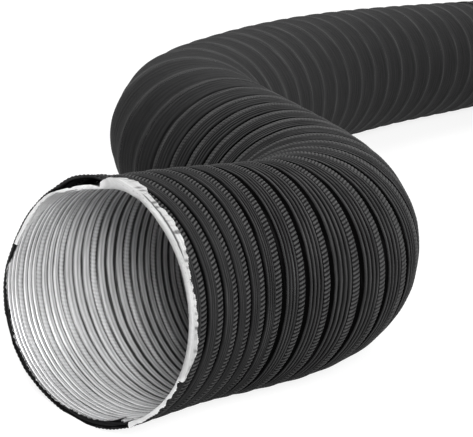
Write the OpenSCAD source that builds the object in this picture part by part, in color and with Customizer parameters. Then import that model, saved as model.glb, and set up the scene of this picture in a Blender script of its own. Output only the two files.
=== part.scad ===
// Flexible air duct: two plies of corrugated strip, a black outer one and a bare
// inner one, wound into a tube that lies on the floor in loose bends.
// Each ply is divided into rigid groups of turns. An inner group slides in the outer
// group before it and swings in the outer group after it, so the chain stretches and
// bends as the wound duct does. Each solid is built of sectors of a torus, which
// follow the bend that the duct lies in, and of plain cylinders where it is straight.

/* [Duct] */
// Diameter of the bore, which is the spigot size that the duct is made for
bore_d = 125; // [100:1:140]
// Wall of one ply, with its fine pleats counted in
ply_wall = 0.6; // [0.5:0.05:0.8]
// Gap between the plies
ply_gap = 0.9; // [0.7:0.05:1.1]
// Height of the seam bands above the outer wall
seam_h = 0.9; // [0.6:0.1:1.5]
// Width of a seam band
seam_w = 4; // [3:0.5:6]
// Height of the ridges between two seams
ridge_h = 0.45; // [0.3:0.05:0.8]
// Width of a ridge
ridge_w = 1.8; // [1.2:0.2:2.4]
// Inner ply folded out over the edge of the mouth
rim_t = 0.6; // [0.4:0.1:1]
// Depth that the weight of the duct flattens its seams on the floor
floor_flat = 0.5; // [0.3:0.1:0.6]

/* [Turns] */
// Number of outer groups after the first one
groups = 27; // [6:1:28]
// Length of the duct from one outer group to the next
group_pitch = 42; // [38:1:48]
// Open length between two outer groups, and between two inner ones
group_gap = 8; // [7:0.5:10]
// Distance from the start of an outer group to its swing centre
swing_in = 4; // [3:0.5:6]
// Inner ply that reaches past its end bead
bead_land = 3; // [2:0.5:4]
// Width of a lock bead, which seats the inner ply at the two ends
lock_w = 4; // [2:0.5:6]
// Clearance between a bead and the outer ply
bead_clear = 0.3; // [0.2:0.05:0.4]
// Width of a bead
bead_w = 2; // [1:0.5:3]
// Place of the first seam
first_seam = 8; // [6:0.5:10]
// Seam to seam at the mouth, where the duct is pushed together
seam_pitch_front = 14; // [12:0.5:18]
// More of it in the first bend
seam_pitch_bend = 5; // [0:0.5:8]
// More again in the rear run, where the duct is pulled out
seam_pitch_rear = 16; // [4:0.5:18]
// Ridges between two seams
ridges = 2; // [1:1:4]

/* [Route] */
// Straight length at the far end
rear_straight = 50; // [40:1:90]
// Direction that the mouth's axis runs in, from +X
front_heading = 51.5; // [0:0.5:90]
// Turn just behind the mouth
kick_turn = -9; // [-15:0.5:10]
// Middle of that turn
kick_at = 51; // [50:1:80]
// Length of that turn
kick_len = 42; // [40:1:90]
// Turn of the first bend, to the left
bend_turn = 78.5; // [20:0.5:84]
// Middle of the first bend
bend_at = 196; // [180:1:230]
// Length of the first bend
bend_len = 232; // [225:1:280]
// Turn of the second bend, to the right
back_turn = -46; // [-60:0.5:-10]
// Middle of the second bend
back_at = 448; // [420:1:480]
// Length of the second bend
back_len = 174; // [170:1:220]
// Turn of the long rear sweep
sweep_turn = -19.5; // [-30:0.5:0]
// Middle of the rear sweep
sweep_at = 734; // [700:1:760]
// Length of the rear sweep
sweep_len = 860; // [700:1:860]

/* [Hidden] */
$fn = 180;

bore_r = bore_d / 2;
inner_r = bore_r + ply_wall;
outer_bore_r = inner_r + ply_gap;
bead_at_r = outer_bore_r - bead_clear;
outer_r = outer_bore_r + ply_wall;
ridge_r = outer_r + ridge_h;
crest_r = outer_r + seam_h;
axis_h = crest_r - floor_flat;
// The straight mouth ends under its third seam, which joins it to the first bend
front_straight = first_seam + 2 * seam_pitch_front;
total_len = front_straight + groups * group_pitch + rear_straight;
// A seam band or ridge stops this far from the cut edge of its group
edge = 0.2;
// A group that would turn less than this many degrees is straight
least_turn = 0.3;

// Places along the duct, counted from the mouth
function group_at(k) = front_straight + k * group_pitch;
function outer_from(k) = k == 0 ? rim_t : group_at(k);
function outer_to(k) = k == groups ? total_len : group_at(k + 1) - group_gap;
function inner_from(k) = group_at(k) + swing_in + bead_land + group_gap + swing_in;
function inner_to(k) = group_at(k + 1) + swing_in + bead_land;

// Share of a turn that is made after the share t of its length, with soft ends
function eased(t) = let (u = max(0, min(1, t))) u - sin(360 * u) / (2 * PI);
function bent(s, turn, mid, len) = turn * eased((s - mid) / len + 0.5);
function wanted(s) = front_heading
    + bent(s, kick_turn, kick_at, kick_len)
    + bent(s, bend_turn, bend_at, bend_len)
    + bent(s, back_turn, back_at, back_len)
    + bent(s, sweep_turn, sweep_at, sweep_len);

// The route is one arc for each group, and straight before the first and after the last
function turn_of(k) = let (t = wanted(group_at(k + 1)) - wanted(group_at(k)))
    abs(t) < least_turn ? 0 : t;
turns = [for (k = [0 : groups - 1]) turn_of(k)];
function headings_from(k, a) = k == groups ? [a] : concat([a], headings_from(k + 1, a + turns[k]));
headings = headings_from(0, front_heading);
function unit(a) = [cos(a), sin(a)];
function chord(len, turn) = turn == 0 ? len : len * sin(turn / 2) / (turn / 2 * PI / 180);
function step(k) = chord(group_pitch, turns[k]) * unit(headings[k] + turns[k] / 2);
function places_from(k, at) = k == groups ? [at] : concat([at], places_from(k + 1, at + step(k)));
places = places_from(0, front_straight * unit(front_heading));
function arc_of(s) = floor((s - front_straight) / group_pitch);
function turn_in(k, len) = k < 0 || k >= groups ? 0 : turns[k] * len / group_pitch;
function frame_of(k) = max(0, min(groups, k));
function heading_at(s) = let (k = arc_of(s), f = frame_of(k))
    headings[f] + turn_in(k, s - group_at(f));
function point_at(s) = let (k = arc_of(s), f = frame_of(k), d = s - group_at(f), a = turn_in(k, d))
    places[f] + chord(d, a) * unit(headings[f] + a / 2);

// The middle of the duct's box is the origin
box_steps = 240;
outline = [for (i = [0 : box_steps]) let (s = total_len * i / box_steps, a = heading_at(s))
    [point_at(s), crest_r * [abs(sin(a)), abs(cos(a))]]];
box_low = [for (c = [0, 1]) min([for (o = outline) o[0][c] - o[1][c]])];
box_high = [for (c = [0, 1]) max([for (o = outline) o[0][c] + o[1][c]])];
origin = (box_low + box_high) / 2;

// Seams: the pitch grows along the duct as it is pulled out
bend_from = 60;
bend_grow = 60;
rear_from = 290;
rear_grow = 160;
function ramp(t) = let (u = max(0, min(1, t))) u * u * (3 - 2 * u);
function seam_pitch(s) = seam_pitch_front
    + seam_pitch_bend * ramp((s - bend_from) / bend_grow)
    + seam_pitch_rear * ramp((s - rear_from) / rear_grow);
function seams_from(s) = s > total_len ? [] : concat([s], seams_from(s + seam_pitch(s)));
seams = seams_from(first_seam);

// Moves what is built around the axis to the start of arc k
module in_arc(k) {
    f = frame_of(k);
    translate([each (places[f] - origin), axis_h])
    rotate([0, 0, headings[f]]) children();
}

// A rod of radius r along arc k of the route, or on along the line of that arc
module rod(k, from, to, r) {
    ahead = from - group_at(frame_of(k));
    turn = turn_in(k, to - from);
    if (turn == 0) {
        translate([ahead, 0, 0])
        rotate([0, 90, 0]) cylinder(h = to - from, r = r);
    } else {
        bend_r = group_pitch / abs(turns[k]) * 180 / PI;
        mirror([0, turn < 0 ? 1 : 0, 0])
        translate([0, bend_r, 0])
        rotate([0, 0, abs(turn_in(k, ahead)) - 90])
        rotate_extrude(angle = abs(turn))
        translate([bend_r, 0]) circle(r = r);
    }
}

// The same, also where it runs from the straight mouth into the first bend
module rods(from, to, r) {
    k = arc_of(from);
    if (k < 0 && to > front_straight) {
        rod(k, from, front_straight, r);
        rod(0, front_straight, to, r);
    } else {
        rod(k, from, to, r);
    }
}

// A band around the outer ply, kept inside the ends of its group
module band(mid, width, r, from, to) {
    a = max(from + edge, mid - width / 2);
    b = min(to - edge, mid + width / 2);
    if (b - a > edge) rods(a, b, r);
}

// A stretch of the inner ply with its beads, which are the children
module inner_ply(k, from, to) {
    color("#c4c6c8")
    in_arc(k)
    difference() {
        union() {
            rod(k, from, to, inner_r);
            children();
        }
        rod(k, from, to, bore_r);
    }
}

module bead(k, mid, width, r) {
    rod(k, mid - width / 2, mid + width / 2, r);
}

// Everything below the floor, as seen from the axis
module below_floor() {
    side = 2 * total_len;
    translate([-side / 2, -side / 2, -side - axis_h]) cube(side);
}

// The k-th outer group: its wall, seam bands and ridges
module outer_turns(k) {
    from = outer_from(k);
    to = outer_to(k);
    color("#232325")
    in_arc(k)
    difference() {
        union() {
            rods(from, to, outer_r);
            for (s = seams) {
                open = seam_pitch(s) - seam_w;
                band(s, seam_w, crest_r, from, to);
                for (j = [1 : ridges])
                    band(s + seam_w / 2 + open * j / (ridges + 1), ridge_w, ridge_r, from, to);
            }
        }
        rods(from, to, outer_bore_r);
        below_floor();
    }
}

// An inner group, from its bead that slides in outer group k to its bead that swings
// in the next one
module inner_turns(k) {
    from = inner_from(k);
    to = inner_to(k);
    inner_ply(k, from, to) {
        bead(k, from + bead_land, bead_w, bead_at_r);
        bead(k, to - bead_land, bead_w, bead_at_r);
    }
}

// The inner ply at one end of the duct, seated in the outer ply on two lock beads
module end_turns(k, from, to) {
    inner_ply(k, from, to) {
        bead(k, from + lock_w, lock_w, outer_bore_r);
        bead(k, to - lock_w, lock_w, outer_bore_r);
        children();
    }
}

// The same at the mouth, where the inner ply is folded out over the outer one's edge
module mouth_turns() {
    end_turns(-1, 0, front_straight) rod(-1, 0, rim_t, outer_r);
}

module far_turns() {
    end_turns(groups, inner_to(groups - 1) + group_gap, total_len);
}

for (k = [0 : groups]) outer_turns(k);
for (k = [0 : groups - 1]) inner_turns(k);
mouth_turns();
far_turns();
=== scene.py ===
"""Flexible air duct: a two-ply corrugated hose that lies on the floor in loose bends."""
import math

import bpy
import numpy as np
from bpy.props import FloatProperty, FloatVectorProperty, IntProperty, PointerProperty
from mathutils import Matrix, Vector


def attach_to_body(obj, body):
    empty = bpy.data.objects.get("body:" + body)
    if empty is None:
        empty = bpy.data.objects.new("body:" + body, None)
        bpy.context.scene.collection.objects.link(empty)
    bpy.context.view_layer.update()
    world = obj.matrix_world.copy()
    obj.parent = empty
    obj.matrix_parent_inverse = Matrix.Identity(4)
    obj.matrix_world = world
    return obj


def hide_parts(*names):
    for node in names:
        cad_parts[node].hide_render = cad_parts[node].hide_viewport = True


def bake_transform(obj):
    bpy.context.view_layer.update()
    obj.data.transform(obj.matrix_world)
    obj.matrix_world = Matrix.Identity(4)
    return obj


bl_info = {
    "name": "Flexible Air Duct",
    "version": (1, 0, 0),
    "blender": (4, 5, 0),
    "location": "View3D > Sidebar > Air Duct",
    "description": "A two-ply corrugated air duct with seams, ridges and a torn mouth",
    "category": "Add Mesh",
}

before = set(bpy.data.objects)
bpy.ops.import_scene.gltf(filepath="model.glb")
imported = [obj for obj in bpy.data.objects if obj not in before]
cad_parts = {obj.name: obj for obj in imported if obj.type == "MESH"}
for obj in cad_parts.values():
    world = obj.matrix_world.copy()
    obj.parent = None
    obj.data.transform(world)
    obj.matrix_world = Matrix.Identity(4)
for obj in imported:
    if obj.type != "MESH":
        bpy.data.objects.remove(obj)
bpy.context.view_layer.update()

MM = 0.001
TAU = 2 * math.pi

# The route, as the solids have it: straight, one arc for each group, and straight
GROUPS = 27
GROUP_PITCH = 42 * MM
FRONT = 36 * MM
REAR = 50 * MM
LENGTH = FRONT + GROUPS * GROUP_PITCH + REAR
# Degrees from +X that the mouth's axis runs in
FRONT_HEADING = 51.5
# Each bend: its turn in degrees, and its middle and length in millimetres
BENDS = ((-9, 51, 42), (78.5, 196, 232), (-46, 448, 174), (-19.5, 734, 860))
# A group that would turn less than this many degrees is straight
LEAST_TURN = 0.3

# Height of the centre line, and the radii of the bore, the outer wall and the seam bands
AXIS_H = 65 * MM
BORE_R = 62.5 * MM
OUTER_R = 64.6 * MM
CREST_R = 65.5 * MM
# The skins are flattened where they would come nearer to the floor than this
SKIN_CLEAR = 0.15 * MM
EDGE_CLEAR = 0.2 * MM

# Where the pieces of a skin are cut in each group, so that one joint moves each piece
SLIDE_FROM = 18 * MM
SLIDE_TO = 32 * MM
# Pieces whose two ends are listed from their second body back to the first
BLENDED_BACKWARDS = ("05b", "10b", "16b", "20b")
# At this swing the skin isn't blended, but one piece reaches into the next as a sleeve
SLEEVED = 25
SWING = FRONT + (SLEEVED + 1) * GROUP_PITCH + 4 * MM
SLEEVE = 5.5 * MM
# Radii of the sleeve in the outer and in the inner ply, and the room that is made for it
SLEEVE_OUTER_R = 63.85 * MM
SLEEVE_INNER_R = 61.3 * MM
SLEEVE_ROOM = 0.5 * MM


# ---------------------------------------------------------------- the route


def eased(t):
    """Share of a turn made after the share t of its length: t - sin(2 pi t) / (2 pi)."""
    u = np.clip(t, 0.0, 1.0)
    return u - np.sin(TAU * u) / TAU


def ramp(t):
    """Soft step: 3 t^2 - 2 t^3 between 0 and 1."""
    u = np.clip(t, 0.0, 1.0)
    return u * u * (3 - 2 * u)


def unit(angle):
    """Direction (cos a, sin a)."""
    return np.stack([np.cos(angle), np.sin(angle)], -1)


def chord(length, turn):
    """Straight distance over an arc of that length and turn: length sin(turn / 2) / (turn / 2)."""
    return length * np.sinc(np.asarray(turn) / TAU)


def lay_route():
    """Turns, headings and places of the groups: the heading is the sum of the eased bends,
    and between two groups the route is one arc."""
    at = (FRONT + GROUP_PITCH * np.arange(GROUPS + 1)) / MM
    wanted = FRONT_HEADING + sum(
        turn * eased((at - mid) / size + 0.5) for turn, mid, size in BENDS
    )
    turns = np.diff(wanted)
    turns[np.abs(turns) < LEAST_TURN] = 0
    turns = np.radians(turns)
    heads = math.radians(FRONT_HEADING) + np.concatenate([[0], np.cumsum(turns)])
    steps = chord(GROUP_PITCH, turns)[:, None] * unit(heads[:-1] + turns / 2)
    places = FRONT * unit(heads[0]) + np.concatenate([[[0, 0]], np.cumsum(steps, 0)])
    return turns, heads, places


TURNS, HEADS, PLACES = lay_route()


def route(s):
    """Place (x, y) and heading at the distance s from the mouth, before the origin is set."""
    s = np.asarray(s, float)
    k = np.floor((s - FRONT) / GROUP_PITCH).astype(int)
    f = np.clip(k, 0, GROUPS)
    inside = (k >= 0) & (k < GROUPS)
    d = s - FRONT - f * GROUP_PITCH
    a = np.where(inside, TURNS[np.clip(k, 0, GROUPS - 1)] * d / GROUP_PITCH, 0.0)
    return PLACES[f] + chord(d, a)[..., None] * unit(HEADS[f] + a / 2), HEADS[f] + a


def find_origin():
    """The middle of the duct's box, from discs of the crest radius along the route."""
    p, h = route(np.linspace(0, LENGTH, 241))
    reach = CREST_R * np.abs(np.stack([np.sin(h), np.cos(h)], -1))
    return ((p - reach).min(0) + (p + reach).max(0)) / 2


ORIGIN = find_origin()


def on_duct(s, phi, r):
    """Point at the distance s, the angle phi and the radius r from the centre line:
    centre + r (cos phi side + sin phi up), where side is to the right of the route."""
    p, h = route(s)
    x = p[..., 0] - ORIGIN[0] + r * np.cos(phi) * np.sin(h)
    y = p[..., 1] - ORIGIN[1] - r * np.cos(phi) * np.cos(h)
    z = AXIS_H + r * np.sin(phi)
    return np.stack([x, y, z], -1)


def centre(s):
    """Point of the centre line at the distance s."""
    return Vector(on_duct(np.array(s), 0.0, 0.0))


# ---------------------------------------------------------------- windings


# Lengths over which the pitch of the seams grows, and where the second one starts
BEND_GROW = 60 * MM
REAR_FROM = 290 * MM
REAR_GROW = 160 * MM


def winding(first, tight, bend, bend_at, rear):
    """Turn number to distance from the mouth, for a strip whose pitch grows from tight by
    bend in the 60 mm from bend_at, and by rear where the duct is pulled out: the inverse of
    the integral of ds / pitch(s), with turn 0 at first."""
    s = np.linspace(-60 * MM, LENGTH + 90 * MM, 16001)
    pitch = tight + bend * ramp((s - bend_at) / BEND_GROW)
    pitch = pitch + rear * ramp((s - REAR_FROM) / REAR_GROW)
    turn = np.concatenate([[0], np.cumsum(np.diff(s) / ((pitch[1:] + pitch[:-1]) / 2))])
    turn -= np.interp(first, s, turn)
    return turn, s


OUTER_WINDING = winding(8 * MM, 14 * MM, 5 * MM, 60 * MM, 16 * MM)
INNER_WINDING = winding(3 * MM, 10.7 * MM, 9.3 * MM, 0.0, 16 * MM)
# Turns that each winding starts before the mouth, so that the askew mouth is covered
EARLY_TURNS = -2.0

# The mouth is cut a little askew, and the turns next to it stand at its slant: tangents of
# the lean to the side and up, and the length that it fades over
RIM_TILT = (0.0746, 0.0454)
TILT_FADE = 60 * MM

# The plies gape at the top of the mouth: the middle in degrees, the length that it fades
# over, and for each ply the spread in degrees and the height
GAPE_AT = 110
GAPE_FADE = 30 * MM
OUTER_SPREAD, OUTER_GAPE = 18, 2.6 * MM
INNER_SPREAD, INNER_GAPE = 25, 2.4 * MM


def last_turn(wind):
    """Turn number a little beyond the far end."""
    turns, places = wind
    return float(np.interp(LENGTH, places, turns)) + 0.2


def tilt(phi, s):
    """How far a turn leans forward at the angle phi: r (a cos phi + b sin phi), fading."""
    lean = BORE_R * (RIM_TILT[0] * np.cos(phi) + RIM_TILT[1] * np.sin(phi))
    return lean * (1 - ramp(s / TILT_FADE))


def gape(phi, s, spread):
    """Share of the gape at the angle phi and the distance s: a soft bump of that spread in
    degrees to each side of its middle, fading along the duct."""
    off = (np.degrees(phi) - GAPE_AT + 180) % 360 - 180
    return ramp(1.25 * (1 - np.abs(off) / spread)) * (1 - ramp(s / GAPE_FADE))


def pulled_out(room):
    """How far the duct is pulled out, from 0 to 1, by the room between two seams."""
    return ramp((room - 20 * MM) / (14 * MM))


def over_seam(x, room):
    """Round swelling over a seam in the pulled-out rear: ((1 + cos(2 pi x / room)) / 2)^3."""
    return (0.5 + 0.5 * np.cos(TAU * x / room)) ** 3


def around(table, phi):
    """Value at the angle phi from a table of (degrees, millimetres), periodic and linear."""
    a, v = np.array(sorted(((d % 360), m) for d, m in table)).T
    return np.interp(np.degrees(phi) % 360, a, v * MM, period=360)


def uneven(phi, s, seed, size, waves=14, round_from=2, round_to=40, along=25 * MM):
    """Small irregular relief: size sum(sin(n phi + k s + shift)) / sqrt(waves), with seeded
    random n, k and shift."""
    rng = np.random.default_rng(seed)
    n = rng.integers(round_from, round_to, waves)
    k = rng.uniform(-1, 1, waves) * TAU / along
    shift = rng.uniform(0, TAU, waves)
    out = 0
    for i in range(waves):
        out = out + np.sin(n[i] * phi + k[i] * s + shift[i])
    return size * out / math.sqrt(waves)


# Cut edge of the outer ply at the mouth, (degrees round from the side, millimetres)
OUTER_EDGE = (
    (0, 4), (30, 4.6), (60, 6), (77, 8), (92, 7), (104, 4.6), (116, 1.5), (125, -1),
    (145, -0.8), (160, -1.5), (172, -3.2), (181, -5.3), (192, -6.3), (204, -6.8),
    (217, -6.8), (232, -6.2), (248, -4.1), (265, -2.5), (283, -2), (300, 0.5), (330, 3),
)
# Torn edge of the inner ply where it isn't folded out
INNER_EDGE = (
    (0, 6), (60, 8), (77, 10), (104, 6), (116, 1), (125, -1), (145, -0.5), (151, 1),
    (157, 0.6), (160, 0.8), (163, 0), (166, -0.5), (172, -2.4), (177, -4.2), (180, -6),
    (189, -6), (197, -5.6), (204, -5), (208, -5.8), (219, -6), (223, -5.4), (233, -5.2),
    (242, -4.6), (254, -3), (263, -1), (275, 1.5), (282, 3.5), (286, 7), (287.5, 15),
    (290, 14), (291.5, 8), (295, 6), (298, 15), (303, 13), (306, 6), (330, 5),
)
# Length of the fold over the outside of the mouth
FOLD = (
    (146, 0.3), (101, 0.3), (97, 9), (88, 9.5), (81, 7.5), (76, 4), (70, 3.6), (60, 5.8),
    (50, 5.4), (44, 4.4), (36, 1.8), (28, 1.4), (22, 1.8), (10, 2.4), (358, 3.4), (350, 1.8),
    (344, 0.6), (335, 0.4), (328, 0.3),
)
# Degrees that the folded lip runs from and to
FOLD_FROM = -57
FOLD_TO = 168


# ---------------------------------------------------------------- meshes


def grid_faces(rows, cols, flip=False):
    """Quads of a grid of rows x cols vertices."""
    i = np.arange(rows - 1)[:, None] * cols + np.arange(cols - 1)[None, :]
    quads = np.stack([i, i + 1, i + cols + 1, i + cols], -1).reshape(-1, 4)
    return quads[:, ::-1] if flip else quads


def make_mesh(name, verts, faces, uv, hollow, material):
    """A piece from vertex, quad, UV and hollowness arrays, smooth shaded."""
    mesh = bpy.data.meshes.new(name)
    mesh.vertices.add(len(verts))
    mesh.vertices.foreach_set("co", np.ascontiguousarray(verts, np.float32).ravel())
    mesh.loops.add(faces.size)
    mesh.loops.foreach_set("vertex_index", faces.astype(np.int32).ravel())
    mesh.polygons.add(len(faces))
    mesh.polygons.foreach_set("loop_start", np.arange(len(faces), dtype=np.int32) * 4)
    mesh.polygons.foreach_set("use_smooth", np.ones(len(faces), bool))
    layer = mesh.uv_layers.new(name="wrap")
    layer.data.foreach_set("uv", uv[faces.ravel()].astype(np.float32).ravel())
    depth = mesh.attributes.new("hollow", "FLOAT", "POINT")
    depth.data.foreach_set("value", np.ascontiguousarray(hollow, np.float32))
    mesh.update(calc_edges=True)
    mesh.validate()
    mesh.materials.append(material)
    obj = bpy.data.objects.new(name, mesh)
    bpy.context.scene.collection.objects.link(obj)
    return obj


def joined(sheets):
    """Several (s, phi, r, hollow, faces) sheets as one."""
    base = np.cumsum([0] + [sheet[0].size for sheet in sheets])
    fields = [np.concatenate([sheet[i].ravel() for sheet in sheets]) for i in range(4)]
    return *fields, np.concatenate([sheet[4] + n for sheet, n in zip(sheets, base)])


def above_floor(verts, clear):
    """Flattens what would come nearer to the floor than that clearance."""
    verts[:, 2] = np.maximum(verts[:, 2], clear)


def body_name(k):
    """Body that the k-th group of the outer ply hangs on."""
    return "mouth" if k == 0 else f"turns_{k + 1:02d}"


def spans():
    """(name, from, to, body, next body or None) for each piece that a skin is cut into."""
    out = [("mouth", -math.inf, FRONT + SLIDE_FROM, "mouth", None)]
    for k in range(GROUPS):
        base = FRONT + k * GROUP_PITCH
        end = base + GROUP_PITCH + SLIDE_FROM
        link = f"link_{k + 2:02d}"
        out.append((f"{k + 1:02d}a", base + SLIDE_FROM, base + SLIDE_TO, body_name(k), link))
        if k == SLEEVED:
            out.append((f"{k + 1:02d}b", base + SLIDE_TO, SWING + SLEEVE, link, None))
            out.append((f"{k + 1:02d}c", SWING, end, body_name(k + 1), None))
        else:
            out.append((f"{k + 1:02d}b", base + SLIDE_TO, end, link, body_name(k + 1)))
    far = FRONT + GROUPS * GROUP_PITCH + SLIDE_FROM
    out.append(("far", far, math.inf, body_name(GROUPS), None))
    return out


def attach(obj, lo, hi, body, following):
    """Rides on its body; a piece that has a next body only has its transform applied. The ends
    worked out for it, between its body and the next, keep clear of the piece's cut edges, which
    lean by half of the piece's turn."""
    if following is None:
        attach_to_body(obj, body)
        return
    turn = abs(float(route(hi)[1] - route(lo)[1]))
    margin = min(CREST_R * math.sin(turn / 2) + 1 * MM, (hi - lo) / 2 - 2 * MM)
    ends = [(body, centre(lo + margin)), (following, centre(hi - margin))]
    if obj.name[-3:] in BLENDED_BACKWARDS:
        ends.reverse()
    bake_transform(obj)


def tucked(name, s, r, outward):
    """Radius beside the sleeved swing: the piece before it narrows over 5 mm into a plain
    sleeve, and the inner ply after it makes room for the outer one's sleeve. Sleeve and room
    are long enough for a full swing, which moves the cut edges by 5.2 mm."""
    if name == f"{SLEEVED + 1:02d}b":
        share = ramp((s - SWING + 11 * MM) / (5 * MM))
        return r + ((SLEEVE_OUTER_R if outward else SLEEVE_INNER_R) - r) * share
    if name == f"{SLEEVED + 1:02d}c" and not outward:
        return r - SLEEVE_ROOM * ramp((SWING + 16 * MM - s) / (4 * MM))
    return r


def wrap_uv(s, phi):
    """UV: 10 units to a metre, round the duct and along it."""
    return np.stack([phi * OUTER_R * 10, s * 10], -1)


def cut_skin(prefix, sheets, material, outward):
    """Turns sheets of (s, phi, r, hollow, faces) into pieces, one for each span of the route,
    without the faces that a cut edge has closed up. Returns the pieces by name."""
    s, phi, r, hollow, faces = joined(sheets)
    uv = wrap_uv(s, phi)
    faces = faces[np.ptp(s[faces], axis=1) > 0.01 * MM]
    mid = s[faces].mean(1)
    if not outward:
        faces = faces[:, ::-1]
    made = {}
    for name, lo, hi, body, following in spans():
        own = faces[(mid >= lo) & (mid < hi)]
        used, index = np.unique(own, return_inverse=True)
        verts = on_duct(s[used], phi[used], tucked(name, s[used], r[used], outward))
        above_floor(verts, SKIN_CLEAR)
        quads = index.reshape(-1, 4)
        obj = make_mesh(f"{prefix}_{name}", verts, quads, uv[used], hollow[used], material)
        attach(obj, lo, hi, body, following)
        made[name] = obj
    return made


def across_band(half):
    """Distance from the seam in a seam band of that half width, from (row, room)."""
    return lambda row, room: -half + 2 * half * row + 0 * room


def strip(wind, t_from, t_to, per_turn, from_seam, rows, edge, radius):
    """A helical sheet between one seam and the next. Along it runs the turn number t, with
    phi = 2 pi t; across it runs rows, from 0 to 1. from_seam gives the distance from the seam
    from (row, room to the next seam); radius gives r and how hollow the strip is there from
    (distance, room, phi, s, row)."""
    turns, places = wind
    n = int(round((t_to - t_from) * per_turn)) + 1
    t = t_from + np.arange(n)[:, None] / per_turn
    phi = TAU * t + 0 * rows[None, :]
    seam = np.interp(t, turns, places)
    room = np.interp(t + 1, turns, places) - seam
    x = from_seam(rows[None, :], room)
    s = seam + x
    r, hollow = radius(x, room, phi, s, rows[None, :])
    s = s + tilt(phi, s)
    s = np.clip(s, edge(phi), LENGTH)
    return s, phi, r, np.clip(hollow, 0, 1) + 0 * s, grid_faces(n, len(rows))


# ---------------------------------------------------------------- materials


# Hollowness of the plain foil, between a crest with a painted highlight at 0 and a hollow with
# painted shade at 1
PLAIN = 0.3
# Uneven wear: the streaks' noise, times the first, plus the second
WEAR = (0.7, -0.33)


def grey(value):
    """A grey colour of that value."""
    return (value, value, value)


def node(tree, kind, **values):
    """A new shader node, with inputs or settings of those names set."""
    made = tree.nodes.new(kind)
    for key, value in values.items():
        if key in made.inputs:
            made.inputs[key].default_value = value
        else:
            setattr(made, key, value)
    return made


def foil_material(name, wear_and_sheen, tone, dark, metallic, specular, smooth, dull, crinkle, scale):
    """Creased foil: hollow 0 is a smooth crest with a painted highlight, 0.3 the plain foil and
    1 a dull hollow with painted shade, with a fine bump of that scale and faint streaks drawn
    out round the duct."""
    mat = bpy.data.materials.new(name)
    mat.use_nodes = True
    tree = mat.node_tree
    shader = tree.nodes["Principled BSDF"]
    shader.inputs["Metallic"].default_value = metallic
    shader.inputs["Specular IOR Level"].default_value = specular
    coord = node(tree, "ShaderNodeTexCoord")
    stretch = node(tree, "ShaderNodeMapping", Scale=scale)
    grain = node(tree, "ShaderNodeTexNoise", Scale=1.0, Detail=4.0, Roughness=0.6)
    bump = node(tree, "ShaderNodeBump", Strength=crinkle, Distance=0.0006)
    drawn = node(tree, "ShaderNodeMapping", Scale=(3, 55, 1))
    streak = node(tree, "ShaderNodeTexNoise", Scale=1.0, Detail=3.0, Roughness=0.6)
    hollow = node(tree, "ShaderNodeAttribute", attribute_name="hollow")
    uneven_wear = node(tree, "ShaderNodeMath", operation="MULTIPLY_ADD")
    uneven_wear.inputs[1].default_value, uneven_wear.inputs[2].default_value = WEAR
    amount = node(tree, "ShaderNodeMath", operation="ADD", use_clamp=True)
    # The ramp paints light and shade: a painted highlight colour on the crests at hollow 0, the
    # plain tone at 0.3, and painted shade in the hollows at 1
    colour = node(tree, "ShaderNodeValToRGB")
    colour.color_ramp.elements[0].color = (*wear_and_sheen, 1)
    colour.color_ramp.elements[1].color = (*dark, 1)
    colour.color_ramp.elements.new(PLAIN).color = (*tone, 1)
    rough = node(tree, "ShaderNodeMapRange")
    rough.inputs["To Min"].default_value = smooth
    rough.inputs["To Max"].default_value = dull
    tree.links.new(coord.outputs["UV"], stretch.inputs["Vector"])
    tree.links.new(stretch.outputs["Vector"], grain.inputs["Vector"])
    tree.links.new(grain.outputs["Fac"], bump.inputs["Height"])
    tree.links.new(bump.outputs["Normal"], shader.inputs["Normal"])
    tree.links.new(coord.outputs["UV"], drawn.inputs["Vector"])
    tree.links.new(drawn.outputs["Vector"], streak.inputs["Vector"])
    tree.links.new(streak.outputs["Fac"], uneven_wear.inputs[0])
    tree.links.new(hollow.outputs["Fac"], amount.inputs[0])
    tree.links.new(uneven_wear.outputs[0], amount.inputs[1])
    tree.links.new(amount.outputs[0], colour.inputs["Fac"])
    tree.links.new(amount.outputs[0], rough.inputs["Value"])
    tree.links.new(colour.outputs["Color"], shader.inputs["Base Color"])
    tree.links.new(rough.outputs["Result"], shader.inputs["Roughness"])
    return mat


# ---------------------------------------------------------------- settings


class OuterPlyProps(bpy.types.PropertyGroup):
    seam_width: FloatProperty(
        name="Seam width", description="Width of the knurled seam band", default=4.1 * MM,
        unit="LENGTH")
    seam_height: FloatProperty(
        name="Seam height", description="Height of the seam band above the wall", default=1.1 * MM,
        unit="LENGTH")
    groove: FloatProperty(
        name="Groove width", description="Width of the dark groove behind a seam",
        default=3.2 * MM, unit="LENGTH")
    groove_depth: FloatProperty(
        name="Groove depth", description="Depth of the groove below the wall", default=1.05 * MM,
        unit="LENGTH")
    teeth: IntProperty(
        name="Teeth", description="Knurl teeth in one turn of a seam", default=168)
    tooth_depth: FloatProperty(
        name="Tooth depth", description="Depth of the knurl", default=0.55 * MM, unit="LENGTH")
    ridges: IntProperty(
        name="Ridges", description="Fine ridges between two seams", default=4)
    ridge_height: FloatProperty(
        name="Ridge height", description="Height of the ridges where the bend opens them",
        default=0.85 * MM, unit="LENGTH")
    colour: FloatVectorProperty(
        name="Colour", description="Coating of the outer ply", subtype="COLOR",
        default=(0.026, 0.026, 0.0265))
    roughness: FloatProperty(
        name="Roughness", description="Roughness of the coating", default=0.45, subtype="FACTOR")


class InnerPlyProps(bpy.types.PropertyGroup):
    seam_width: FloatProperty(
        name="Seam width", description="Width of the knurled seam band", default=3.6 * MM,
        unit="LENGTH")
    ridges: IntProperty(
        name="Ridges", description="Ridges between two seams, each with a crease on its crest",
        default=3)
    ridge_height: FloatProperty(
        name="Ridge height", description="Height of a ridge into the bore", default=0.8 * MM,
        unit="LENGTH")
    colour: FloatVectorProperty(
        name="Colour", description="Bare foil", subtype="COLOR", default=(0.86, 0.86, 0.87))
    roughness: FloatProperty(
        name="Roughness", description="Roughness of the foil", default=0.3, subtype="FACTOR")


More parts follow.
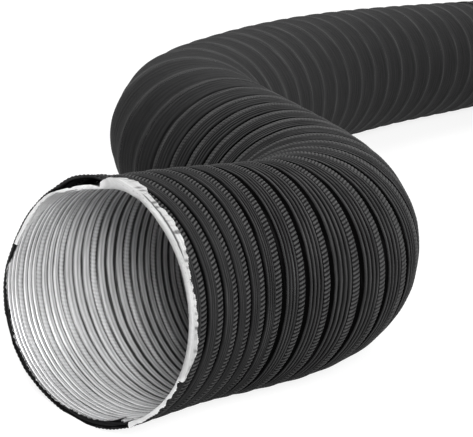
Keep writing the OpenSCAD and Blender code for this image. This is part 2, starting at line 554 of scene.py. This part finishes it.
class StageProps(bpy.types.PropertyGroup):
    floor_colour: FloatVectorProperty(
        name="Floor", description="Colour of the floor", subtype="COLOR",
        default=(0.24, 0.24, 0.24))
    lens: FloatProperty(
        name="Lens", description="Focal length on a 36 mm sensor, in millimetres", default=100.916)


def black_foil():
    """The coated foil of the outer ply, made once."""
    p = bpy.context.scene.duct_outer
    # Crests get a painted highlight of 0.075 and hollows painted shade of 0.0006
    return bpy.data.materials.get("black_coated_foil") or foil_material(
        "black_coated_foil", wear_and_sheen=grey(0.075), tone=tuple(p.colour), dark=grey(0.0006),
        metallic=0.0, specular=0.02, smooth=p.roughness, dull=0.85, crinkle=0.3,
        scale=(60, 260, 1))


def bare_foil():
    """The bare foil of the inner ply, made once."""
    p = bpy.context.scene.duct_inner
    # Crests get a painted highlight of 0.96 and hollows painted shade of 0.03
    return bpy.data.materials.get("bare_foil") or foil_material(
        "bare_foil", wear_and_sheen=grey(0.96), tone=tuple(p.colour), dark=grey(0.03),
        metallic=0.35, specular=0.5, smooth=p.roughness, dull=0.5, crinkle=0.2,
        scale=(40, 260, 1))


def lip_foil():
    """The foil of the folded lip, stretched and dulled by the folding, made once."""
    # The roll and inside band get a painted highlight of 0.86, and dents and the crease painted
    # shade of 0.08
    return bpy.data.materials.get("folded_foil") or foil_material(
        "folded_foil", wear_and_sheen=grey(0.86), tone=grey(0.5), dark=grey(0.08),
        metallic=0.15, specular=0.3, smooth=0.6, dull=0.75, crinkle=1.0,
        scale=(120, 150, 1))


# ---------------------------------------------------------------- pieces


PER_TURN = 336
QUICK = 1
# Turns from the mouth whose seams (outer ply) or ridges (inner ply) are made finer
OUTER_FINE = 14
INNER_FINE = 13
# Share of the rows between two seams that the groove takes
GROOVE_ROWS = 0.2
# Height at which seam band, groove and ridges of the outer ply meet, above its wall
FOOT = 0.3 * MM
# Radius of the valleys between the inner ply's ridges, and teeth in one turn of its seam
INNER_DEEP_R = 63.45 * MM
INNER_TEETH = 168


def outer_edge(phi):
    """Distance of the outer ply's cut edge at the angle phi."""
    return around(OUTER_EDGE, phi)


def inner_edge(phi):
    """Distance of the inner ply's torn edge at the angle phi, a little ragged."""
    ragged = uneven(phi, 0, 7, 0.35 * MM, waves=18, round_from=12, round_to=140)
    return around(INNER_EDGE, phi) + ragged


class DUCT_OT_outer_ply(bpy.types.Operator):
    """Winds the black outer ply: knurled seam bands, a groove behind each, and ridges"""

    bl_idname = "duct.outer_ply"
    bl_label = "Outer Ply"

    def execute(self, context):
        p = context.scene.duct_outer
        half = p.seam_width / 2
        share = GROOVE_ROWS

        def radius_at(h, phi, s):
            """Radius at the height h above the wall, uneven and gaping at the mouth."""
            rough = uneven(phi, s, 3, 0.07 * MM)
            return OUTER_R + h + rough + OUTER_GAPE * gape(phi, s, OUTER_SPREAD)

        def between(row, room):
            """Distance from the seam: the groove takes the first rows, the wall the rest."""
            end = half + p.groove * (1 + 1.2 * pulled_out(room))
            groove = half + (end - half) * row / share
            return np.where(
                row < share, groove, end + (room - half - end) * (row - share) / (1 - share))

        def wall(x, room, phi, s, row):
            """Groove: a steep-sided channel. Wall: a plateau with a round shoulder beside the
            groove and ridges |sin(pi n u)|, low at the mouth and open in the first bend. Where
            the duct is pulled out both are drawn nearly flat."""
            g = np.clip(row / share, 0, 1)
            u = np.clip((row - share) / (1 - share), 0, 1)
            pulled = pulled_out(room)
            groove = FOOT - (FOOT + p.groove_depth) * np.sin(np.pi * g) ** 0.4
            opened = 0.4 + 0.6 * ramp((s - 45 * MM) / (60 * MM))
            opened = opened - 0.7 * ramp((s - 240 * MM) / (120 * MM))
            crest = np.abs(np.sin(np.pi * p.ridges * u))
            ridge = 0.7 * MM * np.sin(np.pi * u) ** 0.2 - p.ridge_height * opened * (1 - crest)
            ease = np.clip(np.minimum(u, 1 - u) * 18, 0, 1)
            ridge = FOOT + (ridge - FOOT) * ease
            hump = over_seam(x, room)
            swell = 0.8 * MM * hump - 0.2 * MM * (1 - crest) * ease
            h = np.where(row < share, groove, ridge) * (1 - pulled) + swell * pulled
            # Painted shade: the groove's colour goes towards the darkest end of the ramp
            dark = np.clip(np.minimum(g / 0.25, (1.05 - g) / 0.15), 0, 1)
            # Painted shade in the valleys between the ridges, where they are opened, and a painted
            # highlight on their crests
            creased = PLAIN + 1.1 * opened * (1 - crest) ** 1.3 - 0.2 * opened * crest**4
            # A painted highlight along the shoulder beside the groove
            creased = creased - 0.25 * np.exp(-((u / 0.05) ** 2))
            faint = 1 - 0.6 * ramp((s - 400 * MM) / (400 * MM))
            # In the pulled-out rear: a painted sheen over each seam's swelling, fainter further
            # along
            swollen = 0.4 - 0.2 * hump * faint
            hollow = np.where(row < share, dark, creased) * (1 - pulled) + swollen * pulled
            return radius_at(h, phi, s), hollow

        def band(x, room, phi, s, row):
            """Seam band: a dome with oblique teeth, each a rounded bar; in the pulled-out rear
            a softer dome with shallow teeth."""
            pulled = pulled_out(room)
            dome = 1 - (2 * row - 1) ** 4
            # How deep the teeth are, fading along the duct; through the teeth this also sets the
            # painted highlight on the bars and the painted shade between them
            wear_and_sheen = 1 - 0.6 * ramp((s - 90 * MM) / (120 * MM))
            tooth = 1 - wear_and_sheen * (1 - (0.5 + 0.5 * np.cos(p.teeth * phi - x / MM)) ** 0.8)
            proud = FOOT + (p.seam_height - FOOT) * dome - p.tooth_depth * dome * (1 - tooth)
            soft = 0.8 * MM * over_seam(x, room) + 0.2 * MM * (1 - (2 * row - 1) ** 2) * tooth
            h = proud * (1 - pulled) + soft * pulled
            # Hollowness: painted shade between the teeth and a painted highlight on the bars'
            # tops; in the pulled-out rear a little lighter than plain, a painted sheen
            hollow = 0.95 * (1 - tooth) ** 1.5 * (1 - pulled) + 0.2 * pulled
            return radius_at(h, phi, s), hollow

        ridge_rows = np.linspace(0, 1, 6 * p.ridges + 1)
        rows = np.concatenate([np.linspace(0, share, 7)[:-1], share + (1 - share) * ridge_rows])
        band_rows = np.linspace(0, 1, 6)
        across = across_band(half)
        wind, edge, per = OUTER_WINDING, outer_edge, PER_TURN // QUICK
        end = last_turn(wind)
        sheets = [
            strip(wind, EARLY_TURNS, end, per, between, rows, edge, wall),
            strip(wind, EARLY_TURNS, OUTER_FINE, per * 4, across, band_rows, edge, band),
            strip(wind, OUTER_FINE, end, per * 2, across, band_rows, edge, band),
        ]
        nodes = [f"outer_turns_{k + 1:02d}" for k in range(GROUPS + 1)]
        made = cut_skin("outer_ply", sheets, black_foil(), True)
        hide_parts(nodes[0])
        for k in range(GROUPS):
            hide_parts(nodes[k + 1])
        return {"FINISHED"}


class DUCT_OT_outer_edge(bpy.types.Operator):
    """Closes the outer ply's cut edge at the mouth: in along its inside, and round the edge"""

    bl_idname = "duct.outer_edge"
    bl_label = "Outer Edge"

    def execute(self, context):
        n = 720 // QUICK
        phi = np.linspace(0, TAU, n + 1)[None, :]
        edge = outer_edge(phi)
        along = np.array([9.0, 5.0, 2.0, 0.3, 0.0, 0.0, 0.3, 1.2])[:, None] * MM
        r = np.array([63.75, 63.75, 63.8, 63.85, 64.1, 64.5, 64.75, 64.7])[:, None] * MM
        s = edge + along
        r = r + 0 * phi + uneven(phi, 0, 11, 0.06 * MM) + OUTER_GAPE * gape(phi, s, OUTER_SPREAD)
        s, phi, r = s.ravel(), (phi + 0 * s).ravel(), r.ravel()
        verts = on_duct(s, phi, r)
        above_floor(verts, EDGE_CLEAR)
        faces = grid_faces(len(along), n + 1, flip=True)
        # Darker and duller than the plain foil: the darkening is painted shade inside the cut edge
        hollow = np.full(len(verts), 0.6)
        obj = make_mesh(
            "outer_ply_edge", verts, faces, wrap_uv(s, phi), hollow, black_foil())
        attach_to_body(obj, "mouth")
        return {"FINISHED"}


class DUCT_OT_inner_ply(bpy.types.Operator):
    """Winds the bare inner ply: a knurled seam band and ridges that stand into the bore"""

    bl_idname = "duct.inner_ply"
    bl_label = "Inner Ply"

    def execute(self, context):
        p = context.scene.duct_inner
        half = p.seam_width / 2

        def radius_at(h, phi, s):
            """Radius at the height h above the valleys, uneven and gaping at the mouth."""
            rough = uneven(phi, s, 5, 0.05 * MM)
            return INNER_DEEP_R - h + rough - INNER_GAPE * gape(phi, s, INNER_SPREAD)

        def between(row, room):
            """Distance from the seam: the ridges share the room evenly."""
            return half + (room - 2 * half) * row + 0 * room

        def wall(x, room, phi, s, row):
            """Ridges into the bore: broad crests with narrow valleys, |sin(pi n u)|^0.7, and
            a fine crease along each crest, exp(-((u n - whole - 1/2) / 0.09)^2)."""
            crest = np.abs(np.sin(np.pi * p.ridges * row)) ** 0.7
            off = (row * p.ridges) % 1 - 0.5
            crease = np.exp(-((off / 0.09) ** 2))
            # A painted highlight to each side of the crease on each crest
            shine = np.exp(-(((np.abs(off) - 0.28) / 0.1) ** 2))
            valley = 0.9 + 1.3 * ramp((s - 30 * MM) / (60 * MM))
            # Painted shade in the valleys, stronger deeper into the duct, and along each crest's
            # crease, with the painted highlight beside it
            hollow = PLAIN + valley * (1 - crest) + 0.3 * crease - 0.3 * shine
            return radius_at(p.ridge_height * (crest - 0.3 * crease), phi, s), hollow

        def band(x, room, phi, s, row):
            """Seam band: a low dome with shallow oblique teeth."""
            dome = 1 - (2 * row - 1) ** 4
            tooth = 0.5 + 0.5 * np.cos(INNER_TEETH * phi - x / MM)
            h = 0.5 * MM * dome - 0.15 * MM * dome * (1 - tooth)
            # Hollowness: painted shade at the band's edges and between its teeth
            return radius_at(h, phi, s), 0.42 - 0.14 * tooth + 0.6 * (1 - dome)

        def plain(x, room, phi, s, row):
            """Seam band deep in the duct: flat, where it can't be made out."""
            return INNER_DEEP_R - 0.1 * MM + 0 * x + 0 * phi, PLAIN + 0 * x

        rows = np.linspace(0, 1, 8 * p.ridges + 1)
        coarse = np.linspace(0, 1, 4 * p.ridges + 1)
        band_rows = np.linspace(0, 1, 5)
        plain_rows = np.linspace(0, 1, 3)
        across = across_band(half)
        wind, edge, per = INNER_WINDING, inner_edge, PER_TURN // QUICK
        end = last_turn(wind)
        sheets = [
            strip(wind, EARLY_TURNS, INNER_FINE, per, between, rows, edge, wall),
            strip(wind, EARLY_TURNS, INNER_FINE, per * 3, across, band_rows, edge, band),
            strip(wind, INNER_FINE, end, per // 2, between, coarse, edge, wall),
            strip(wind, INNER_FINE, end, per // 2, across, plain_rows, edge, plain),
        ]
        nodes = [f"inner_turns_{k + 1:02d}" for k in range(GROUPS + 2)]
        made = cut_skin("inner_ply", sheets, bare_foil(), False)
        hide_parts(nodes[0])
        for k in range(GROUPS):
            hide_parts(nodes[k + 1])
        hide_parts(nodes[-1])
        return {"FINISHED"}


class DUCT_OT_lip(bpy.types.Operator):
    """Folds the inner ply out over the rim: up from the bore, round the edge, and back along
    the outside to a torn edge"""

    bl_idname = "duct.lip"
    bl_label = "Folded Lip"

    def execute(self, context):
        n = 1400 // QUICK
        deg = np.linspace(FOLD_FROM, FOLD_TO, n + 1)[None, :]
        phi = np.radians(deg)
        rim = outer_edge(phi)
        # Length of the fold, torn at its edge and tapered to nothing at both ends
        taper = ramp((deg - FOLD_FROM) / 6) * ramp((FOLD_TO - deg) / 4)
        torn = uneven(phi, 0, 21, 0.35 * MM, waves=16, round_from=12, round_to=90)
        torn = torn + uneven(phi, 0, 22, 0.14 * MM, waves=16, round_from=120, round_to=400)
        fold = np.maximum(around(FOLD, phi) + torn, 0.3 * MM) * taper
        wide, dent = gape(phi, 0, OUTER_SPREAD), gape(phi, 0, INNER_SPREAD)
        # From 0 to 1 where the lip is a plain flange: low at the side, and past the gape
        low = ramp((-12 - deg) / 8)
        short = np.maximum(low, ramp((deg - 112) / 8))
        # Share of the half circle round the edge that the foil is wrapped through
        wrapped = 0.1 + 0.9 * ramp((fold / MM - 0.35) / 0.7)
        wrapped = wrapped + (0.5 - wrapped) * np.maximum(wide, short)
        # Inside of the edge: a plain band along the bore
        narrow = 0.15 + 0.85 * ramp((FOLD_TO - deg) / 34)
        inside = np.linspace(1, 0.2, 6)[:, None] * (4 + 5 * short) * narrow * MM
        s_in = rim + inside + 0 * phi
        r_in = 62.7 * MM - INNER_GAPE * dent + 0 * s_in
        # Round the edge: part of an ellipse
        share = np.linspace(0, 1, 11)[:, None]
        turn = np.radians(-90 + 180 * share * wrapped)
        s_roll = rim + 0.8 * MM - 1.3 * MM * np.cos(turn)
        high = (1.65 + 0.95 * wide + 0.9 * low) * MM + low * torn
        r_roll = r_in[-1:] + high * (1 + np.sin(turn))
        # Outside: a crumpled flap back along the duct, lifted at its torn edge
        out = np.linspace(0.06, 1, 15)[:, None]
        flap = ramp((wrapped - 0.6) / 0.4)
        s_out = s_roll[-1:] + fold * out * flap
        crumple = uneven(
            phi, s_out, 23, 0.11 * MM, waves=24, round_from=8, round_to=160, along=9 * MM)
        lift = crumple * ramp(out * 2) + 0.3 * MM * ramp(fold / (4 * MM)) * out**2
        r_roll = r_roll + 5 * MM * dent * share**2 * flap
        r_out = r_roll[-1:] + (0.15 * MM + lift) * flap - INNER_GAPE * dent * ramp(out) * flap
        s = np.concatenate([s_in, s_roll, s_out])
        r = np.concatenate([r_in, r_roll, r_out])
        r = r + uneven(phi, s, 29, 0.06 * MM, round_to=120)
        # A crease along the flap, where it is longest
        split = ramp((deg - 38) / 8) * ramp((80 - deg) / 8)
        crease = split * np.exp(-(((out - 0.2) / 0.1) ** 2))
        # Darker and rougher in the crumple's dents: the roughness is the foil's own, the darkening
        # is painted shade
        dull = 0.6 * np.clip(-crumple / (0.2 * MM), 0, 1) * ramp(out * 2)
        # Painted shade along the crease as well
        hollow = np.clip(PLAIN + dull + 1.4 * crease, 0, 1)
        # The inside band, and the roll where no flap is folded back, take the ramp's light end: a
        # painted highlight on the rolled edge
        hollow = np.concatenate([0 * s_in, 0 * s_roll + PLAIN * flap, 0 * s_out + hollow]).ravel()
        r = r - np.concatenate([0 * s_in, 0 * s_roll, 0.35 * MM * crease])
        faces = grid_faces(s.shape[0], n + 1, flip=True)
        s, phi, r = s.ravel(), (phi + 0 * s).ravel(), r.ravel()
        verts, uv = on_duct(s, phi, r), wrap_uv(s, phi)
        obj = make_mesh("folded_lip", verts, faces, uv, hollow, lip_foil())
        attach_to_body(obj, "mouth")
        return {"FINISHED"}


class DUCT_OT_far_edge(bpy.types.Operator):
    """Closes the cut edge of both plies at the far end"""

    bl_idname = "duct.far_edge"
    bl_label = "Far Edge"

    def execute(self, context):
        n = PER_TURN // QUICK
        phi = np.linspace(0, TAU, n + 1)[None, :]
        back = np.array([2.0, 0.0, 0.0, 0.3])[:, None] * MM
        for name, radii, material, slot in (
            ("outer_ply_far_edge", (63.8, 64.0, 64.6, 64.7), black_foil(), "outer_ply"),
            ("inner_ply_far_edge", (62.6, 62.8, 63.4, 63.6), bare_foil(), "inner_ply"),
        ):
            r = (np.array(radii)[:, None] * MM + 0 * phi).ravel()
            s = (LENGTH - back + 0 * phi).ravel()
            angle = (phi + 0 * back).ravel()
            verts = on_duct(s, angle, r)
            above_floor(verts, EDGE_CLEAR)
            # Hollow 0: both edges take the light end of their foil's ramp, the crests' painted
            # highlight colour
            faces, hollow = grid_faces(len(back), n + 1), np.zeros(len(verts))
            obj = make_mesh(name, verts, faces, wrap_uv(r, angle), hollow, material)
            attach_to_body(obj, body_name(GROUPS))
        return {"FINISHED"}


# ---------------------------------------------------------------- stage


# The camera: where it stands, its pitch below the horizon and its roll, in degrees
CAMERA_AT = (-0.11394, -1.17222, 0.32644)
CAMERA_PITCH = 17.523
CAMERA_ROLL = 9.125
# Metres that the floor reaches to each side
FLOOR_REACH = 12.0
# Strengths of the floor's glow and of the world: lit, and on top of it where they are seen
FLOOR_GLOW = (0.0, 0.84)
WORLD_GLOW = (0.22, 0.78)
# Each lamp: its name, place, target, size and watts
LAMPS = (
    ("front", (0.08, -1.84, 0.96), (-0.3, -0.4, 0.05), (0.5, 0.5), 31),
    ("side", (1.7, -0.8, 0.8), (-0.1, -0.3, 0.05), (0.5, 0.8), 9),
    ("top", (-0.2, 1.2, 2.4), (0, 0.2, 0), (2.0, 1.6), 54),
)


def aim(obj, target):
    """Turns a lamp to its target."""
    obj.rotation_euler = (Vector(target) - obj.location).to_track_quat("-Z", "Y").to_euler()


def area_light(name, place, target, size, power):
    """A rectangular lamp."""
    data = bpy.data.lights.new(name, "AREA")
    data.shape = "RECTANGLE"
    data.size, data.size_y = size
    data.energy = power
    obj = bpy.data.objects.new(name, data)
    obj.location = place
    bpy.context.scene.collection.objects.link(obj)
    aim(obj, target)


def shown_strength(tree, lit, more):
    """Strength lit for the rays that light the duct, and more on top of it for the rays that
    show the background: straight from the camera, in a reflection or through a piece."""
    path = node(tree, "ShaderNodeLightPath")
    through = node(tree, "ShaderNodeMath", operation="ADD", use_clamp=True)
    seen = node(tree, "ShaderNodeMath", operation="ADD", use_clamp=True)
    strength = node(tree, "ShaderNodeMath", operation="MULTIPLY_ADD")
    strength.inputs[1].default_value = more
    strength.inputs[2].default_value = lit
    tree.links.new(path.outputs["Is Camera Ray"], through.inputs[0])
    tree.links.new(path.outputs["Is Transmission Ray"], through.inputs[1])
    tree.links.new(through.outputs[0], seen.inputs[0])
    tree.links.new(path.outputs["Is Glossy Ray"], seen.inputs[1])
    tree.links.new(seen.outputs[0], strength.inputs[0])
    return strength.outputs[0]


def add_camera(scene, lens):
    """The camera, turned by its pitch about the level axis and rolled about its own."""
    cam = bpy.data.cameras.new("camera")
    cam.sensor_width = 36
    cam.lens = lens
    cam.clip_end = 50
    obj = bpy.data.objects.new("camera", cam)
    pitch, roll = math.radians(CAMERA_PITCH), math.radians(CAMERA_ROLL)
    ahead = Vector((0, math.cos(pitch), -math.sin(pitch)))
    level = Vector((1, 0, 0))
    upright = level.cross(ahead)
    right = math.cos(roll) * level + math.sin(roll) * upright
    up = -math.sin(roll) * level + math.cos(roll) * upright
    turned = Matrix((right, up, -ahead)).transposed().to_4x4()
    obj.matrix_world = Matrix.Translation(CAMERA_AT) @ turned
    scene.collection.objects.link(obj)
    scene.camera = obj


def add_floor(scene, colour):
    """A pale floor that is seen white and takes a soft shadow."""
    mesh = bpy.data.meshes.new("floor")
    a = FLOOR_REACH
    corners = [(-a, -a, 0), (a, -a, 0), (a, a, 0), (-a, a, 0)]
    mesh.from_pydata(corners, [], [(0, 1, 2, 3)])
    floor = bpy.data.objects.new("floor", mesh)
    scene.collection.objects.link(floor)
    mat = bpy.data.materials.new("pale_floor")
    mat.use_nodes = True
    tree = mat.node_tree
    tree.nodes.clear()
    out = node(tree, "ShaderNodeOutputMaterial")
    diffuse = node(tree, "ShaderNodeBsdfDiffuse", Color=(*colour, 1))
    glow = node(tree, "ShaderNodeEmission", Color=(1, 1, 1, 1))
    both = node(tree, "ShaderNodeAddShader")
    tree.links.new(shown_strength(tree, *FLOOR_GLOW), glow.inputs["Strength"])
    tree.links.new(diffuse.outputs[0], both.inputs[0])
    tree.links.new(glow.outputs[0], both.inputs[1])
    tree.links.new(both.outputs[0], out.inputs["Surface"])
    mesh.materials.append(mat)


def add_world(scene):
    """A white room that lights the duct less than it shows."""
    world = bpy.data.worlds.new("soft_room")
    scene.world = world
    world.use_nodes = True
    tree = world.node_tree
    back = tree.nodes["Background"]
    back.inputs["Color"].default_value = (1, 1, 1, 1)
    tree.links.new(shown_strength(tree, *WORLD_GLOW), back.inputs["Strength"])


class DUCT_OT_stage(bpy.types.Operator):
    """Sets the camera, the lamps, the world and the pale floor"""

    bl_idname = "duct.stage"
    bl_label = "Stage"

    def execute(self, context):
        scene = context.scene
        p = scene.duct_stage
        add_camera(scene, p.lens)
        scene.view_settings.view_transform = "Standard"
        add_floor(scene, p.floor_colour)
        add_world(scene)
        for lamp in LAMPS:
            area_light(*lamp)
        return {"FINISHED"}


STEPS = (
    DUCT_OT_outer_ply,
    DUCT_OT_outer_edge,
    DUCT_OT_inner_ply,
    DUCT_OT_lip,
    DUCT_OT_far_edge,
    DUCT_OT_stage,
)


class DUCT_PT_panel(bpy.types.Panel):
    """Lists the pieces of the duct and their settings"""

    bl_idname = "DUCT_PT_panel"
    bl_label = "Air Duct"
    bl_space_type = "VIEW_3D"
    bl_region_type = "UI"
    bl_category = "Air Duct"

    def draw(self, context):
        for step in STEPS:
            self.layout.operator(step.bl_idname)
        scene = context.scene
        for group in (scene.duct_outer, scene.duct_inner, scene.duct_stage):
            box = self.layout.box()
            for name in group.__annotations__:
                box.prop(group, name)


GROUPS_OF_PROPS = (OuterPlyProps, InnerPlyProps, StageProps)


def register():
    for cls in (*GROUPS_OF_PROPS, *STEPS, DUCT_PT_panel):
        bpy.utils.register_class(cls)
    bpy.types.Scene.duct_outer = PointerProperty(type=OuterPlyProps)
    bpy.types.Scene.duct_inner = PointerProperty(type=InnerPlyProps)
    bpy.types.Scene.duct_stage = PointerProperty(type=StageProps)


def unregister():
    del bpy.types.Scene.duct_outer
    del bpy.types.Scene.duct_inner
    del bpy.types.Scene.duct_stage
    for cls in reversed((*GROUPS_OF_PROPS, *STEPS, DUCT_PT_panel)):
        bpy.utils.unregister_class(cls)


def main():
    """Registers the add-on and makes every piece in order."""
    register()
    bpy.ops.duct.stage()
    bpy.ops.duct.outer_ply()
    bpy.ops.duct.outer_edge()
    bpy.ops.duct.inner_ply()
    bpy.ops.duct.lip()
    bpy.ops.duct.far_edge()


if __name__ == "__main__":
    main()
